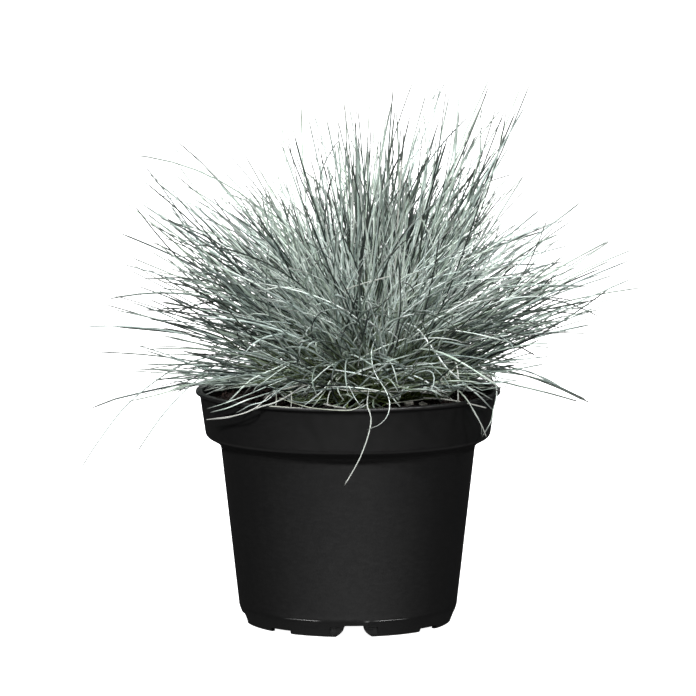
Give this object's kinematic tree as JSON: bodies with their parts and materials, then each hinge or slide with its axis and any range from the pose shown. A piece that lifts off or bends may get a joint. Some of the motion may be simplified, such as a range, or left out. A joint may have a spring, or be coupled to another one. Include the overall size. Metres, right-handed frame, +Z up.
{
  "type": "potted ornamental grass clump",
  "caption": "Dome-shaped clump of fine blue-grey grass leaves spilling over the lip of a round black nursery pot with a wide collar and a notched foot.",
  "frame": {"origin": "on the pot's axis at the level of its foot, which is also the middle of the whole plant's box to within 2.5 mm", "axes": "+Z up along the pot's axis, -Y towards the side that the picture shows, +X to that view's right"},
  "size_m": [0.3199, 0.3064, 0.3097],
  "materials": {
    "black_plastic": "matte",
    "compost": "matte",
    "leaf_base": "matte",
    "grass_leaf": "matte",
    "bark": "matte"
  },
  "bodies": {
    "root": {"bark_chip_1": "bark", "bark_chip_2": "bark", "compost": "compost", "crown": "leaf_base", "pot": "black_plastic", "stray_leaf_front": "grass_leaf", "stray_leaf_left": "grass_leaf", "stray_leaf_right": "grass_leaf", "tuft_front_01": "grass_leaf", "tuft_front_02": "grass_leaf", "tuft_heart_01": "grass_leaf", "tuft_heart_02": "grass_leaf", "tuft_heart_03": "grass_leaf", "tuft_lower_01": "grass_leaf", "tuft_lower_02": "grass_leaf", "tuft_lower_03": "grass_leaf", "tuft_lower_04": "grass_leaf", "tuft_lower_05": "grass_leaf", "tuft_lower_06": "grass_leaf", "tuft_lower_07": "grass_leaf", "tuft_lower_08": "grass_leaf", "tuft_lower_09": "grass_leaf", "tuft_lower_10": "grass_leaf", "tuft_lower_11": "grass_leaf", "tuft_lower_12": "grass_leaf", "tuft_middle_01": "grass_leaf", "tuft_middle_02": "grass_leaf", "tuft_middle_03": "grass_leaf", "tuft_middle_04": "grass_leaf", "tuft_middle_05": "grass_leaf", "tuft_middle_06": "grass_leaf", "tuft_middle_07": "grass_leaf", "tuft_middle_08": "grass_leaf", "tuft_middle_09": "grass_leaf", "tuft_middle_10": "grass_leaf", "tuft_skirt_01": "grass_leaf", "tuft_skirt_02": "grass_leaf", "tuft_skirt_03": "grass_leaf", "tuft_skirt_04": "grass_leaf", "tuft_skirt_05": "grass_leaf", "tuft_skirt_06": "grass_leaf", "tuft_skirt_07": "grass_leaf", "tuft_skirt_08": "grass_leaf", "tuft_skirt_09": "grass_leaf", "tuft_skirt_10": "grass_leaf", "tuft_upper_01": "grass_leaf", "tuft_upper_02": "grass_leaf", "tuft_upper_03": "grass_leaf", "tuft_upper_04": "grass_leaf", "tuft_upper_05": "grass_leaf", "tuft_upper_06": "grass_leaf", "tuft_upper_07": "grass_leaf"}
  },
  "joints": []
}
